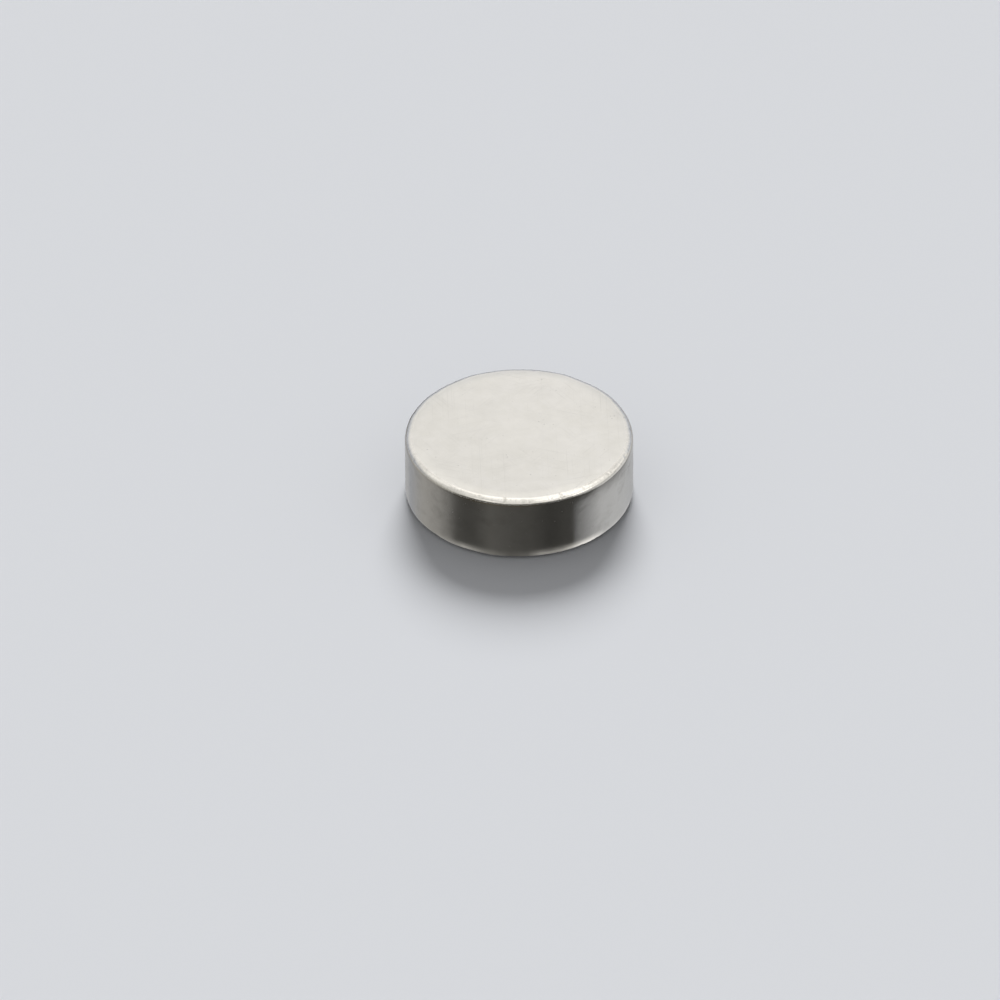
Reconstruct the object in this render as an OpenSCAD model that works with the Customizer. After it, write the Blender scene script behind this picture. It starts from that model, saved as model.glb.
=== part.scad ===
// Disc magnet: one sintered neodymium disc, ground flat and round, tumbled and nickel plated.
// It is magnetised through its thickness, so its two flat faces are the poles.
// The origin is the centre of the lower pole face, and +Z runs up the disc's own axis.

/* [Disc] */
// Diameter over the plating
disc_d = 6; // [2:0.1:30]
// Thickness over the plating, from one pole face to the other
disc_h = 1.9; // [1:0.1:20]

/* [Rims] */
// Radius that tumbling leaves on both rims
rim_r = 0.2; // [0.05:0.05:0.4]

/* [Hidden] */
// The rim arcs' centres lie this far from the axis
arc_x = disc_d / 2 - rim_r;
// Straight length of the ground wall between the two rims
wall_h = disc_h - 2 * rim_r;
// Warm grey of bright nickel
nickel = [0.84, 0.81, 0.76];
$fn = 240;

// Half section from the axis to the wall, with a quarter round at each rim
module half_section() {
    square([arc_x, disc_h]);
    translate([0, rim_r]) square([disc_d / 2, wall_h]);
    for (z = [rim_r, disc_h - rim_r])
        translate([arc_x, z]) circle(r = rim_r);
}

module disc_magnet() {
    color(nickel) rotate_extrude() half_section();
}

disc_magnet();
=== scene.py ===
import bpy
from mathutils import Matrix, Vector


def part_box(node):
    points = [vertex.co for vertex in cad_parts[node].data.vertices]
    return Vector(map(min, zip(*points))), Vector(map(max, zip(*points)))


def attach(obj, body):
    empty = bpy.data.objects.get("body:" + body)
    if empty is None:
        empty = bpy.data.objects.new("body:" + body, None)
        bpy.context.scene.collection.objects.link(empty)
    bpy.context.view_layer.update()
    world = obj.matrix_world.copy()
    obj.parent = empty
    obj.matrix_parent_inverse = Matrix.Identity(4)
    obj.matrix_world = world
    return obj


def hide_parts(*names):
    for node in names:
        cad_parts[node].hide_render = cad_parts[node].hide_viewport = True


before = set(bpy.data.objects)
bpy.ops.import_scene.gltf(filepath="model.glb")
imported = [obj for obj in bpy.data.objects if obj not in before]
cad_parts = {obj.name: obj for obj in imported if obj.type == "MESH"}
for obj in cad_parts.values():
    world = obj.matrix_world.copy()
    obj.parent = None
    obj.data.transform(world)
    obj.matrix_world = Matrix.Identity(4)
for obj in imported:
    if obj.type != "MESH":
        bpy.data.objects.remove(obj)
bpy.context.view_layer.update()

import math

import bpy
import numpy as np
from mathutils import Matrix, Vector

mm = 0.001

# --- The disc -------------------------------------------------------------------------------
# The magnet is one piece: neodymium, iron and boron powder, pressed and sintered, then ground flat
# on both pole faces and round on the wall. Tumbling with stones rounds both rims, never quite
# evenly, and leaves them small nicks. It rests on its lower pole face and carries nothing.

disc_low, disc_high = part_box("disc_magnet")
disc_r = disc_high.x
disc_h = disc_high.z - disc_low.z
rim_r = 0.2 * mm
roll_off = 0.012 * mm      # how far a pole face sinks at its edge, where tumbling wears it most
roll_width = 0.25 * mm     # how far in from its edge that sinking starts
nick_count = 24            # random nicks in each rim
deepest_nick = 0.008 * mm
face_cells = 176           # grid cells across a pole face, so four times as many round the wall
rim_rows = 16
wall_rows = 9
columns = 4 * face_cells
rng = np.random.default_rng(6)


def ring_noise(angle, lobes, count):
    """A smooth uneven curve round the disc, about -1 to 1: a sum of count sines, each with a whole
    number of waves up to lobes and a random phase."""
    waves = rng.integers(1, lobes, count)
    phases = rng.uniform(0, 2 * np.pi, count)
    heights = rng.uniform(0.4, 1.0, count)
    sines = heights[:, None] * np.sin(waves[:, None] * angle + phases[:, None])
    return sines.sum(axis=0) / np.sqrt((heights**2).sum() * 2)


def rim_nicks(angle, turn, grooves, count):
    """How far each point of a rim is pressed in: one bell per nick, centred at an angle round the
    disc and a turn down the rim, its exponent cubed so that its floor is nearly flat. The first
    nicks, at the angles in grooves, are deep and drawn out down the rim. The others are random.
    All fade out where the rim meets the wall."""
    where = np.concatenate([np.radians(grooves), rng.uniform(0, 2 * np.pi, count)])[:, None, None]
    lean = rng.uniform(0.3, 0.95, where.shape)
    drawn_out = np.where(np.arange(len(where)) < len(grooves), 5.0, 1.0)[:, None, None]
    size = rng.uniform(0.03, 0.06, where.shape) * mm
    depth = np.where(drawn_out > 1, deepest_nick, rng.uniform(0.003, 0.008, where.shape) * mm)
    across = ((angle - where + np.pi) % (2 * np.pi) - np.pi) * disc_r
    along = (turn[:, None] - lean) * rim_r / drawn_out
    fade = np.clip((np.pi / 2 - turn) / np.radians(30), 0, 1)[:, None]
    return fade * (depth * np.exp(-(((across**2 + along**2) / size**2) ** 1.5))).sum(axis=0)


def rim_section(turn, angle, grooves):
    """One rim as a grid: rows down a quarter circle, columns round the disc. A row's point lies
    r (1 - sin turn) in from the wall and r (1 - cos turn) down from the face, where the radius r
    varies a little round the disc. Nicks and the roll-off push it further along its own normal."""
    radius = rim_r * (1 + 0.06 * ring_noise(angle, 23, 12) + 0.012 * ring_noise(angle, 90, 40))
    pressed = rim_nicks(angle, turn, grooves, nick_count)
    sine = np.sin(turn)[:, None]
    cosine = np.cos(turn)[:, None]
    inset = radius * (1 - sine) + pressed * sine
    drop = radius * (1 - cosine) + pressed * cosine + roll_off * cosine**2
    return inset, drop, pressed


def concentric_disc(cells):
    """A square grid bent onto the unit disc: each square ring of cells becomes a round ring, and
    its points are spread evenly round it, so the disc has no pole."""
    side = np.linspace(-1, 1, cells + 1)
    a, b = np.meshgrid(side, side, indexing="ij")
    wide = np.abs(a) > np.abs(b)
    radius = np.where(wide, a, b)
    safe = np.where(radius == 0, 1, radius)
    angle = np.where(wide, np.pi / 4 * b / safe, np.pi / 2 - np.pi / 4 * a / safe)
    return radius * np.cos(angle), radius * np.sin(angle)


def pole_face(unit_x, unit_y, angle, edge_radial, edge_height, level):
    """A pole face: the unit disc stretched so that its border meets the rim, whose edge is given by
    its distance from the axis and its height at each angle. The face is flat at level but for the
    roll-off, which deepens as the square of the distance past its start."""
    unit_angle = np.arctan2(unit_y, unit_x)
    stretch = np.interp(unit_angle, angle, edge_radial, period=2 * np.pi)
    sink = np.interp(unit_angle, angle, edge_height - level, period=2 * np.pi)
    past = np.clip(1 - (1 - np.hypot(unit_x, unit_y)) * stretch / roll_width, 0, 1)
    return np.stack([unit_x * stretch, unit_y * stretch, level + sink * past**2], -1).reshape(-1, 3)


angle = -np.pi / 4 + np.arange(columns) * (2 * np.pi / columns)
turn = np.linspace(0, np.pi / 2, rim_rows + 1)
upper_inset, upper_drop, upper_pressed = rim_section(turn, angle, [-98, -68])
lower_inset, lower_drop, lower_pressed = (part[::-1] for part in rim_section(turn, angle, [-50]))
down = np.linspace(0, 1, wall_rows + 1)[1:-1, None]
wall_z = (1 - down) * (disc_h - upper_drop[-1]) + down * lower_drop[0]
wall_inset = (1 - down) * upper_inset[-1] + down * lower_inset[0]
out_of_round = 0.0012 * mm * ring_noise(angle, 17, 9)
out_of_round = out_of_round - out_of_round.max()
radial = disc_r - np.concatenate([upper_inset, wall_inset, lower_inset]) + out_of_round
height = np.concatenate([disc_h - upper_drop, wall_z, lower_drop])
rows = len(radial)

unit_x, unit_y = concentric_disc(face_cells)
grid = np.arange((face_cells + 1) ** 2).reshape(face_cells + 1, face_cells + 1)
border = np.concatenate([grid[-1, :-1], grid[:0:-1, -1], grid[0, :0:-1], grid[:-1, 0]])
upper = pole_face(unit_x, unit_y, angle, radial[0], height[0], disc_h)
lower = pole_face(unit_x, unit_y, angle, radial[-1], height[-1], 0)
rims_and_wall = np.stack([radial * np.cos(angle), radial * np.sin(angle), height], -1)
upper[border] = rims_and_wall[0]
lower[border] = rims_and_wall[-1]
points = np.concatenate([upper, lower, rims_and_wall[1:-1].reshape(-1, 3)])

first_lower = len(upper)
first_inner = first_lower + len(lower)
inner_rows = first_inner + np.arange((rows - 2) * columns).reshape(rows - 2, columns)
ring = np.concatenate([border[None, :], inner_rows, first_lower + border[None, :]])
next_ring = np.roll(ring, -1, axis=1)
strip = np.stack([ring[:-1], ring[1:], next_ring[1:], next_ring[:-1]], -1).reshape(-1, 4)
cell = np.stack([grid[:-1, :-1], grid[1:, :-1], grid[1:, 1:], grid[:-1, 1:]], -1).reshape(-1, 4)
quads = np.concatenate([cell, first_lower + cell[:, ::-1], strip])

mesh = bpy.data.meshes.new("disc")
mesh.from_pydata(points.tolist(), [], quads.tolist())
mesh.shade_smooth()
disc = bpy.data.objects.new("plated_disc", mesh)
bpy.context.scene.collection.objects.link(disc)

# Three shares for the finish: wall_share is 0 on the pole faces and 1 on the wall, rim_share is 1
# along the middle of each rim and 0 on either side of it, and nick_share is 1 in the deepest nicks.
row_turn = np.concatenate([turn, np.full(wall_rows - 1, np.pi / 2), turn[::-1]])[:, None]
pressed = np.concatenate([upper_pressed, np.zeros((wall_rows - 1, columns)), lower_pressed])
for name, row_share in (
    ("wall_share", np.clip(row_turn / np.radians(15), 0, 1)),
    ("rim_share", np.sin(2 * row_turn)),
    ("nick_share", np.clip(pressed / deepest_nick, 0, 1)),
):
    shares = np.zeros(len(points), dtype=np.float32)
    shares[first_inner:] = np.broadcast_to(row_share, (rows, columns))[1:-1].ravel()
    mesh.attributes.new(name, "FLOAT", "POINT").data.foreach_set("value", shares)

# --- Nickel plating ---------------------------------------------------------------------------
# Barrel-plated nickel over copper over nickel, about 0.02 mm in all. It copies what lies under it:
# satin pole faces, a brighter wall with faint grinding lines, and rims peened and scuffed in the
# tumbler. The eye gets a warm silver with soft, slightly pebbled and faintly smudged reflections.


def linear(code):
    """An sRGB hex colour as linear red, green and blue, and full alpha."""
    srgb = [int(code[i : i + 2], 16) / 255 for i in (1, 3, 5)]
    return [c / 12.92 if c <= 0.04045 else ((c + 0.055) / 1.055) ** 2.4 for c in srgb] + [1.0]


def add(tree, kind, inputs=(), **settings):
    """Adds a node. Settings are its own properties, and inputs gives its sockets, by name or by
    number, a value, or another node's first output, or a socket to link from."""
    node = tree.nodes.new(kind)
    for name, value in settings.items():
        setattr(node, name, value)
    for name, value in dict(inputs).items():
        if isinstance(value, bpy.types.Node):
            value = value.outputs[0]
        if isinstance(value, bpy.types.NodeSocket):
            tree.links.new(value, node.inputs[name])
        else:
            node.inputs[name].default_value = value
    return node


def new_material(name):
    """A material with no nodes yet."""
    material = bpy.data.materials.new(name)
    material.use_nodes = True
    material.node_tree.nodes.clear()
    return material


nickel = new_material("barrel_plated_nickel")
tree = nickel.node_tree
place = add(tree, "ShaderNodeTexCoord").outputs["Object"]
in_mm = add(tree, "ShaderNodeVectorMath", {0: place, "Scale": 1 / mm}, operation="SCALE")
on_wall = add(tree, "ShaderNodeAttribute", attribute_name="wall_share").outputs["Fac"]
on_rim = add(tree, "ShaderNodeAttribute", attribute_name="rim_share").outputs["Fac"]
in_nick = add(tree, "ShaderNodeAttribute", attribute_name="nick_share").outputs["Fac"]
off_wall = add(tree, "ShaderNodeMath", {0: 1.0, 1: on_wall}, operation="SUBTRACT")

# Each layer of noise: the size of its blotches in mm along X, Y and Z, and its detail.
# Real plating grain is nearer 0.005 mm. Real grinding lines, and the scuffs down the rims, which
# are the layer called rubbed, are nearer 0.01 mm. All are drawn coarser, to show.
layers = {}
for name, size, detail in (
    ("tone", (0.35, 0.35, 0.35), 3.0),
    ("smudge", (1.3, 1.3, 1.3), 3.0),
    ("pebble", (0.11, 0.11, 0.11), 1.0),
    ("grain", (0.035, 0.035, 0.035), 1.0),
    ("grinding", (2.0, 2.0, 0.04), 1.0),
    ("worn", (0.3, 0.3, 0.3), 1.0),
    ("broad", (3.0, 3.0, 3.0), 1.0),
    ("wavy", (0.6, 0.6, 0.6), 1.0),
    ("rubbed", (0.06, 0.06, 5.0), 1.0),
    ("peened", (0.06, 0.06, 0.06), 1.0),
    ("film", (0.5, 0.5, 0.35), 4.0),
):
    space = add(tree, "ShaderNodeMapping", {"Vector": in_mm, "Scale": size}, vector_type="TEXTURE")
    layers[name] = add(tree, "ShaderNodeTexNoise", {"Vector": space, "Scale": 1.0, "Detail": detail})

# Hairline scratches of the pole faces: noise stretched along one line in the face's own plane, of
# which only the rarest peaks are cut. Each set has its own direction, and its width and length in
# mm. Real ones are nearer 0.003 mm wide, and these are drawn coarser, to show.
scratches = 0.0
for turned, width, length in (
    (0.3, 0.015, 2.0),
    (0.9, 0.012, 1.2),
    (1.6, 0.014, 3.0),
    (2.2, 0.012, 1.6),
    (2.8, 0.015, 2.4),
):
    space = add(
        tree,
        "ShaderNodeMapping",
        {"Vector": in_mm, "Rotation": (0.0, 0.0, turned), "Scale": (length, width, 9.0)},
        vector_type="TEXTURE",
    )
    streak = add(tree, "ShaderNodeTexNoise", {"Vector": space, "Scale": 1.0, "Detail": 0.0})
    cut = add(tree, "ShaderNodeMapRange", {"Value": streak, "From Min": 0.74, "From Max": 0.84})
    scratches = add(tree, "ShaderNodeMath", {0: cut, 1: scratches}, operation="MAXIMUM")
scratches = add(tree, "ShaderNodeMath", {0: scratches, 1: off_wall}, operation="MULTIPLY")

# Pinholes of the plating, up to 0.02 mm across, with fewer where the worn layer is low.
pinhole = add(tree, "ShaderNodeTexVoronoi", {"Vector": in_mm, "Scale": 7.0})
pit_radius = add(
    tree,
    "ShaderNodeMapRange",
    {"Value": layers["worn"], "From Min": 0.45, "From Max": 0.7, "To Min": 0.0, "To Max": 0.13},
)
pits = add(
    tree, "ShaderNodeMath", {0: pinhole.outputs["Distance"], 1: pit_radius}, operation="LESS_THAN"
)

# Shallow round dings, up to 0.1 mm across, where the stones of the tumbler struck.
struck = add(tree, "ShaderNodeTexVoronoi", {"Vector": in_mm, "Scale": 2.6})
dings = add(
    tree,
    "ShaderNodeMapRange",
    {"Value": struck.outputs["Distance"], "From Min": 0.16, "From Max": 0.0},
    interpolation_type="SMOOTHSTEP",
)

# The relief, in thousandths of a millimetre.
relief = 0.0
for layer, share, microns in (
    (layers["pebble"], 1.0, 1.0),
    (layers["grain"], off_wall, 0.35),
    (layers["grinding"], on_wall, 0.5),
    (layers["wavy"], 1.0, 6.0),
    (layers["rubbed"], on_rim, 2.0),
    (layers["peened"], on_rim, 2.0),
    (scratches, 1.0, -0.8),
    (pits, 1.0, -1.0),
    (dings, 1.0, -1.6),
):
    raised = add(tree, "ShaderNodeMath", {0: share, 1: microns}, operation="MULTIPLY")
    relief = add(tree, "ShaderNodeMath", {0: layer, 1: raised, 2: relief}, operation="MULTIPLY_ADD")
bump = add(tree, "ShaderNodeBump", {"Strength": 1.0, "Distance": 0.001 * mm, "Height": relief})

# A thin film of finger grease in soft patches on the wall.
film = add(tree, "ShaderNodeMapRange", {"Value": layers["film"], "From Min": 0.5, "From Max": 0.72})
bare_wall = add(tree, "ShaderNodeMath", {0: on_wall, 1: on_rim}, operation="SUBTRACT", use_clamp=True)
film = add(tree, "ShaderNodeMath", {0: film, 1: bare_wall}, operation="MULTIPLY")

# Satin faces and a brighter wall, both duller where hands and other parts have rubbed, and duller
# again at marks and under the film.
face_rough = add(
    tree,
    "ShaderNodeMapRange",
    {"Value": layers["smudge"], "From Min": 0.3, "From Max": 0.7, "To Min": 0.29, "To Max": 0.35},
)
wall_rough = add(
    tree,
    "ShaderNodeMapRange",
    {"Value": layers["smudge"], "From Min": 0.3, "From Max": 0.7, "To Min": 0.15, "To Max": 0.21},
)
both_rough = add(tree, "ShaderNodeMix", {0: on_wall, 2: face_rough, 3: wall_rough})
marks = add(tree, "ShaderNodeMath", {0: scratches, 1: pits}, operation="MAXIMUM")
rough = add(tree, "ShaderNodeMath", {0: marks, 1: 0.15, 2: both_rough}, operation="MULTIPLY_ADD")
rough = add(tree, "ShaderNodeMath", {0: film, 1: 0.07, 2: rough}, operation="MULTIPLY_ADD")

half = add(tree, "ShaderNodeMath", {0: layers["tone"], 1: layers["broad"]}, operation="ADD")
mottle = add(tree, "ShaderNodeMapRange", {"Value": half, "From Min": 0.75, "From Max": 1.25})
silver = add(
    tree, "ShaderNodeMix", {0: mottle, 6: linear("#E1DDD4"), 7: linear("#E8E4DC")}, data_type="RGBA"
)

# Grime darkens the scratches, pits and film, and faint streaks where the rims are scuffed.
# In the deepest nicks the darkening is painted shade, which draws dark breaks in the highlight of the
# near rim.
streaks = add(tree, "ShaderNodeMapRange", {"Value": layers["rubbed"], "From Min": 0.5, "From Max": 0.7})
streaks = add(tree, "ShaderNodeMath", {0: streaks, 1: on_rim}, operation="MULTIPLY")
dirt_and_painted_shade = 0.0
# The nicks' share is painted shade; the scratches, pits, film and streaks are grime and scuffs.
for layer, amount in ((streaks, 0.16), (scratches, 0.12), (pits, 0.4), (in_nick, 0.3), (film, 0.18)):
    dirt_and_painted_shade = add(tree, "ShaderNodeMath", {0: layer, 1: amount, 2: dirt_and_painted_shade}, operation="MULTIPLY_ADD")
colour = add(
    tree,
    "ShaderNodeMix",
    {0: dirt_and_painted_shade, 6: silver.outputs[2], 7: linear("#8C8880")},
    data_type="RGBA",
    clamp_factor=True,
)
shader = add(
    tree,
    "ShaderNodeBsdfPrincipled",
    {"Base Color": colour.outputs[2], "Metallic": 1.0, "Roughness": rough, "Normal": bump},
)
add(tree, "ShaderNodeOutputMaterial", {"Surface": shader})
mesh.materials.append(nickel)
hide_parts("disc_magnet")
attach(disc, "root")

# --- Table ------------------------------------------------------------------------------------
# A plain sheet of pale matt card, far wider than the disc.

table_half = 700 * mm
table_mesh = bpy.data.meshes.new("table")
corners = [(x * table_half, y * table_half, 0) for x, y in ((-1, -1), (1, -1), (1, 1), (-1, 1))]
table_mesh.from_pydata(corners, [], [(0, 1, 2, 3)])
table = bpy.data.objects.new("table", table_mesh)
bpy.context.scene.collection.objects.link(table)
matt_card = new_material("pale_matt_card")
tree = matt_card.node_tree
shader = add(
    tree,
    "ShaderNodeBsdfPrincipled",
    {"Base Color": linear("#E2E4E8"), "Roughness": 1.0, "Specular IOR Level": 0.0},
)
add(tree, "ShaderNodeOutputMaterial", {"Surface": shader})
table_mesh.materials.append(matt_card)

# --- Camera -----------------------------------------------------------------------------------
# A long lens, 36.5 degrees above the table, so that the disc is drawn with little perspective.


def direction(azimuth, elevation):
    """Unit vector away from the disc, in degrees: azimuth 0 is the camera's side and 90 is +X."""
    a = math.radians(azimuth)
    e = math.radians(elevation)
    return Vector((math.sin(a) * math.cos(e), -math.cos(a) * math.cos(e), math.sin(e)))


camera_distance = 400 * mm
camera_elevation = 36.5
view_width = 26.3 * mm      # how much the view takes in from side to side, at the disc
aim = Vector((-0.51 * mm, -0.37 * mm, 0))
away = direction(0, camera_elevation)
camera_data = bpy.data.cameras.new("camera")
camera_data.lens = camera_data.sensor_width * camera_distance / view_width
camera_data.clip_start = 1 * mm
camera_data.clip_end = 5
camera = bpy.data.objects.new("camera", camera_data)
camera.rotation_mode = "QUATERNION"
camera.location = aim + away * camera_distance
roll = Matrix.Rotation(math.radians(-0.4), 4, "Z").to_quaternion()
camera.rotation_quaternion = (-away).to_track_quat("-Z", "Y") @ roll
bpy.context.scene.collection.objects.link(camera)
bpy.context.scene.camera = camera
bpy.context.scene.view_settings.view_transform = "Standard"

# --- Light ------------------------------------------------------------------------------------
# A soft lamp behind the disc lights the table and lays the disc's shadow towards the camera. The
# metal mirrors a pale tent with a softbox in its top and a window at the right, and close to the
# disc a card that is dark in the middle, so that the wall has a dark band with pale ends.

key_data = bpy.data.lights.new("key", "SUN")
key_data.energy = 3.0
key_data.angle = math.radians(30)
key = bpy.data.objects.new("key", key_data)
key.rotation_mode = "QUATERNION"
key.rotation_quaternion = direction(178, 36).to_track_quat("Z", "Y")
key.visible_glossy = False
bpy.context.scene.collection.objects.link(key)


def seen_by_eye_or_metal(tree):
    """1 where a ray comes from the camera, or off metal or glass, and 0 where it lights the table."""
    path = add(tree, "ShaderNodeLightPath").outputs
    glossy, through = path["Is Glossy Ray"], path["Is Transmission Ray"]
    mirrored = add(tree, "ShaderNodeMath", {0: glossy, 1: through}, operation="MAXIMUM")
    seen = add(tree, "ShaderNodeMath", {0: mirrored, 1: path["Is Camera Ray"]}, operation="MAXIMUM")
    return add(
        tree, "ShaderNodeMath", {0: seen, 1: path["Diffuse Depth"]}, operation="SUBTRACT", use_clamp=True
    )


def ease(low, high, value):
    """0 below low and 1 above high, and smooth between them, or the other way where low is higher."""
    part = np.clip((value - low) / (high - low), 0, 1)
    return part * part * (3 - 2 * part)


def studio_card(name, surface, levels):
    """A card that only bright metal shows: a grid of points, each with the level of red, green and
    blue that it sends out, where 1 is white."""
    across, along = surface.shape[:2]
    index = np.arange(across * along).reshape(across, along)
    faces = np.stack([index[:-1, :-1], index[1:, :-1], index[1:, 1:], index[:-1, 1:]], -1)
    card_mesh = bpy.data.meshes.new(name)
    card_mesh.from_pydata(surface.reshape(-1, 3).tolist(), [], faces.reshape(-1, 4).tolist())
    colours = np.ones((across * along, 4), dtype=np.float32)
    colours[:, :3] = levels.reshape(-1, levels.shape[-1])
    card_mesh.attributes.new("level", "FLOAT_COLOR", "POINT").data.foreach_set("color", colours.ravel())
    card = bpy.data.objects.new(name, card_mesh)
    bpy.context.scene.collection.objects.link(card)
    card.visible_camera = False
    card.visible_diffuse = False
    card.visible_shadow = False
    material = new_material(name)
    tree = material.node_tree
    level = add(tree, "ShaderNodeAttribute", attribute_name="level")
    glow = add(tree, "ShaderNodeEmission", {"Color": level, "Strength": seen_by_eye_or_metal(tree)})
    add(tree, "ShaderNodeOutputMaterial", {"Surface": glow})
    card_mesh.materials.append(material)


# The softbox: brightest a little behind the disc, and on the right brighter forward too. Sizes and
# distances are in mm. The glint is a stretch of the near rim, on the left, that shines more: it is
# given by the azimuth at which the rim mirrors each point of the softbox to the camera.
softbox_height = 200
x, y = np.meshgrid(np.linspace(-300, 250, 56), np.linspace(-330, 180, 52), indexing="ij")
far = np.sqrt(x**2 + y**2 + softbox_height**2)
rim_azimuth = np.degrees(np.arctan2(x / far, -away.y - y / far))
front_to_back = np.interp(
    y,
    [-330, -250, -150, -67, -40, 0, 60, 110, 180],
    [0.8, 0.95, 0.9, 1.06, 1.08, 1.08, 1.58, 1.52, 1.02],
)
dim_left = np.interp(x, [-233, -157, -79, -60, -48, 0], [0.68, 0.76, 0.71, 0.79, 1.04, 1.0])
left_level = front_to_back * dim_left + 0.38 * ease(-170, -240, y) * ease(60, 130, abs(x))
glint = np.interp(rim_azimuth, [-40, -34, -29, -14, -6], [1.0, 0.9, 1.27, 1.17, 1.0])
left_level = left_level * (1 + (glint - 1) * ease(40, 0, y))
right_level = left_level + (1.5 - left_level) * ease(70, 20, y) * ease(-170, -100, y)
right_level = right_level * (1 - 0.3 * ease(30, 60, x) * ease(230, 190, x) * ease(50, 80, y))
right_level = right_level * (1 - 0.2 * ease(150, 190, x))
softbox_level = left_level + (right_level - left_level) * ease(15, 60, x)
softbox = np.stack([x, y, np.full_like(x, softbox_height)], -1) * mm
studio_card("softbox", softbox, softbox_level[..., None])

# The window: on the right, brightest in front and dimmer towards its sill.
window_distance = 300
bearing, up = np.meshgrid(np.linspace(50, 126, 20), np.linspace(0, 205, 17), indexing="ij")
window_x = window_distance * np.sin(np.radians(bearing))
window_y = -window_distance * np.cos(np.radians(bearing))
sill_level = 0.6 + 0.14 * ease(98, 112, bearing)
window_level = sill_level + (0.35 + 0.65 * ease(84, 74, bearing)) * ease(70, 110, up)
studio_card("window", np.stack([window_x, window_y, up], -1) * mm, window_level[..., None])

# The near card lies on the table. Its lines run out from the wall as the camera's lines of sight
# do when the wall mirrors them: from the wall at lean, out at twice that angle, for reach.
lean_steps = np.linspace(-75, 75, 151)
reach_steps = np.concatenate([[-0.1, 0], np.geomspace(0.05, 40, 60)])
lean, reach = np.meshgrid(lean_steps, reach_steps, indexing="ij")
wall_angle = np.radians(lean)
card_x = disc_r / mm * np.sin(wall_angle) + reach * np.sin(2 * wall_angle)
card_y = -disc_r / mm * np.cos(wall_angle) - reach * np.cos(2 * wall_angle)
near_card = np.stack([card_x, card_y, np.full_like(card_x, 0.02)], -1) * mm
lean = lean[..., None]
reach = reach[..., None]
dark = np.interp(
    lean, [-36, -28, -24, -15, -5, 5, 15, 24], [0.08, 0.062, 0.062, 0.098, 0.078, 0.066, 0.04, 0.05]
)
dark = dark * np.array([1.0, 1.0, 0.98])
left_card = np.interp(lean, [-75, -65, -55, -45, -38, -33], [0.37, 0.37, 0.35, 0.28, 0.18, 0.09])
left_card = left_card * (1 + 0.3 * ease(4, 9, reach))
left_card = left_card * (1 + ease(-55, -75, lean) * np.array([-0.04, 0.0, 0.1]))
right_card = np.interp(lean, [28, 32, 38, 45, 60, 75], [0.12, 0.22, 0.33, 0.5, 0.53, 0.48])
right_card = right_card * (1 + 0.65 * ease(4, 9, reach) * ease(85, 50, lean))
right_card = right_card * np.array([0.97, 1.0, 1.06])

# Between two and six mm out, a band of its right part is dimmer and starts further to the right.
band = ease(1.9, 2.5, reach) * ease(6.5, 3.5, reach)
on_left = ease(-31, -38, lean)
on_right = ease(27, 30, lean - 12 * band) * (1 - 0.6 * band * ease(75, 60, lean))
near_level = dark + (left_card - dark) * on_left + (right_card - dark) * on_right

# Its far part is slightly brown, most of all in the dark middle.
in_middle = ease(-34, -26, lean) * ease(16, 6, lean)
brown = ease(2, 5, reach) * ease(30, 12, reach) * (0.15 + 0.85 * in_middle)
near_level = near_level * (1 - brown * np.array([0.0, 0.12, 0.3]))

# Its edge by the disc is pale, and the lower rim draws that edge as a fine line.
edge_level = np.interp(
    lean,
    [-50, -38, -30, -18, -5, 4, 11, 20, 34, 40, 48],
    [0.0, 0.12, 0.32, 0.12, 0.03, 0.06, 0.28, 0.28, 0.7, 0.62, 0.1],
)
near_level = near_level + edge_level * ease(0.4, 0.12, reach)
studio_card("near_card", near_card, near_level)

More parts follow.
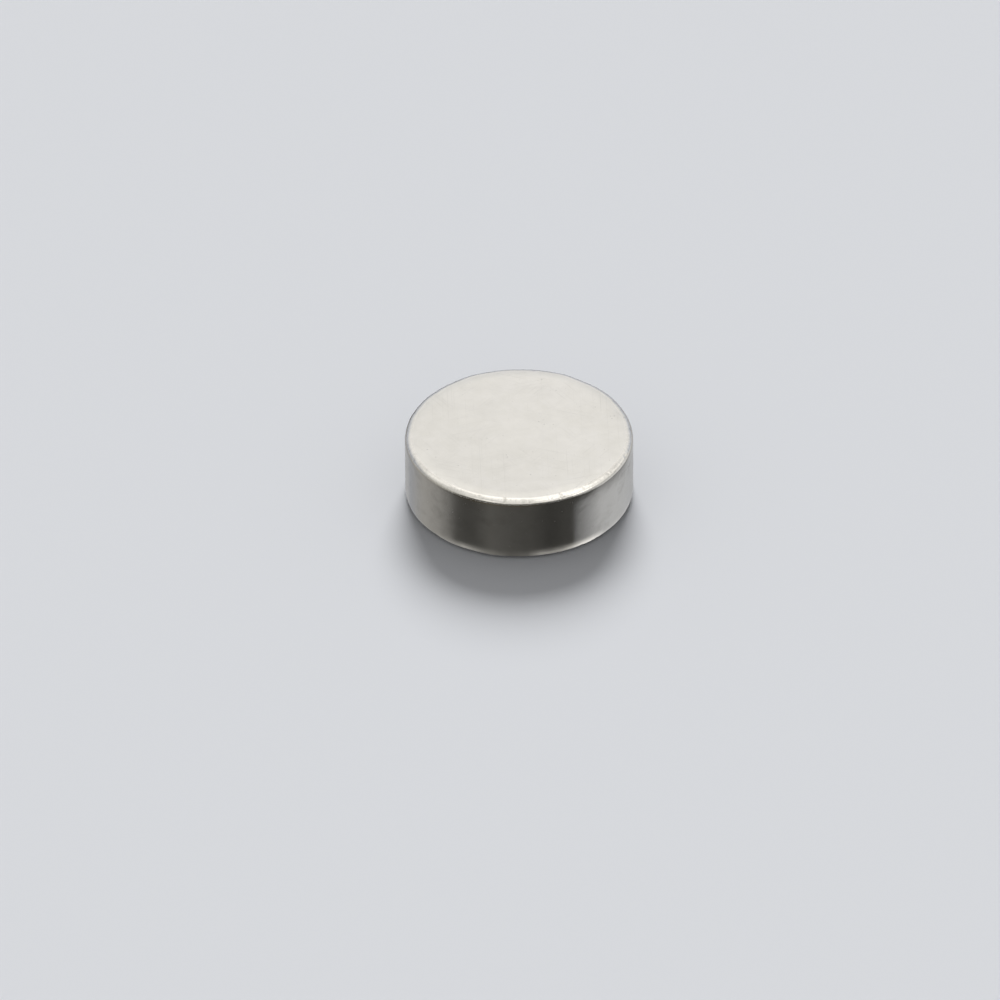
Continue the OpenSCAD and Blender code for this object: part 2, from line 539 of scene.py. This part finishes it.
# Under it a second card reaches all round, with a soft dark band for whoever looks from behind.
bearing_steps = np.linspace(0, 360, 181)
reach_steps = np.concatenate([[0], np.geomspace(0.05, 60, 40)])
bearing, reach = np.meshgrid(bearing_steps, reach_steps, indexing="ij")
card_x = (disc_r / mm + reach) * np.sin(np.radians(bearing))
card_y = -(disc_r / mm + reach) * np.cos(np.radians(bearing))
round_card = np.stack([card_x, card_y, np.full_like(card_x, 0.01)], -1) * mm
ring_level = np.interp(
    bearing,
    [0, 90, 130, 165, 180, 205, 218, 235, 262, 300, 360],
    [0.55, 0.46, 0.5, 0.45, 0.15, 0.1, 0.14, 0.48, 0.46, 0.45, 0.55],
)
ring_level = ring_level + np.clip(0.4 - ring_level, 0, 1) * ease(4, 9, reach)
studio_card("round_card", round_card, ring_level[..., None] * np.array([0.98, 1.0, 1.05]))

# The tent is pale overhead and greyer towards the horizon, which is cool behind the disc and warm
# in front. It is open, so nearly black, low down in front, where the camera looks in. The table
# gets an even, weaker light from it.
world = bpy.data.worlds.new("tent")
world.use_nodes = True
tree = world.node_tree
tree.nodes.clear()
where = add(tree, "ShaderNodeTexCoord").outputs["Generated"]
axes = add(tree, "ShaderNodeSeparateXYZ", {"Vector": where}).outputs
parts = {}
for name, axis, start, stop, first, last in (
    ("height", "Z", -0.1, 0.8, 0.0, 1.0),
    ("side", "X", -0.88, -0.5, 0.89, 1.12),
    ("low", "Z", 0.45, 0.15, 0.0, 0.9),
    ("front", "Y", -0.35, -0.6, 0.0, 1.0),
    ("behind", "Y", -0.1, 0.6, 0.0, 1.0),
):
    parts[name] = add(
        tree,
        "ShaderNodeMapRange",
        {"Value": axes[axis], "From Min": start, "From Max": stop, "To Min": first, "To Max": last},
        interpolation_type="SMOOTHSTEP",
    )
opening = add(tree, "ShaderNodeMath", {0: parts["low"], 1: parts["front"]}, operation="MULTIPLY")
closed = add(tree, "ShaderNodeMath", {0: 1.0, 1: opening}, operation="SUBTRACT")
strength = add(tree, "ShaderNodeMath", {0: parts["side"], 1: closed}, operation="MULTIPLY")
horizon = add(
    tree,
    "ShaderNodeMix",
    {0: parts["behind"], 6: linear("#AEADA6"), 7: linear("#A9B1C2")},
    data_type="RGBA",
)
cloth = add(
    tree,
    "ShaderNodeMix",
    {0: parts["height"], 6: horizon.outputs[2], 7: linear("#FFFFFF")},
    data_type="RGBA",
)
tent = add(tree, "ShaderNodeBackground", {"Color": cloth.outputs[2], "Strength": strength})
fill = add(tree, "ShaderNodeBackground", {"Color": linear("#FFFFFF"), "Strength": 0.33})
both = add(tree, "ShaderNodeMixShader", {0: seen_by_eye_or_metal(tree), 1: fill, 2: tent})
add(tree, "ShaderNodeOutputWorld", {"Surface": both})
bpy.context.scene.world = world
